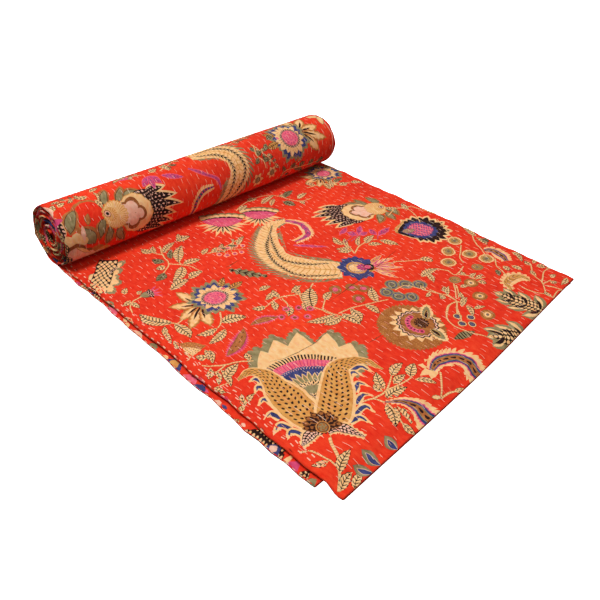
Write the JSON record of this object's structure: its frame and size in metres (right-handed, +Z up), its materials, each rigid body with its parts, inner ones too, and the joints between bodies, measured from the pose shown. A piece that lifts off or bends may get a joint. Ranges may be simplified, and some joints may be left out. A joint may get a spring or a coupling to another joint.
{
  "type": "kantha quilt",
  "caption": "Red printed cotton kantha quilt, quilted in rows of running stitch, folded lengthwise into a strip of layers and rolled up from its far end on top of itself.",
  "frame": {"origin": "centre of the bounding box in plan, on the surface that the quilt lies on", "axes": "+X across the folded strip and along the roll, +Y along the strip from its free near end to the roll, +Z up"},
  "size_m": [0.589, 0.635, 0.1003],
  "materials": {
    "cotton": "matte printed cotton with puckers along its rows of stitches"
  },
  "bodies": {
    "root": {"quilt": "cotton"}
  },
  "joints": []
}
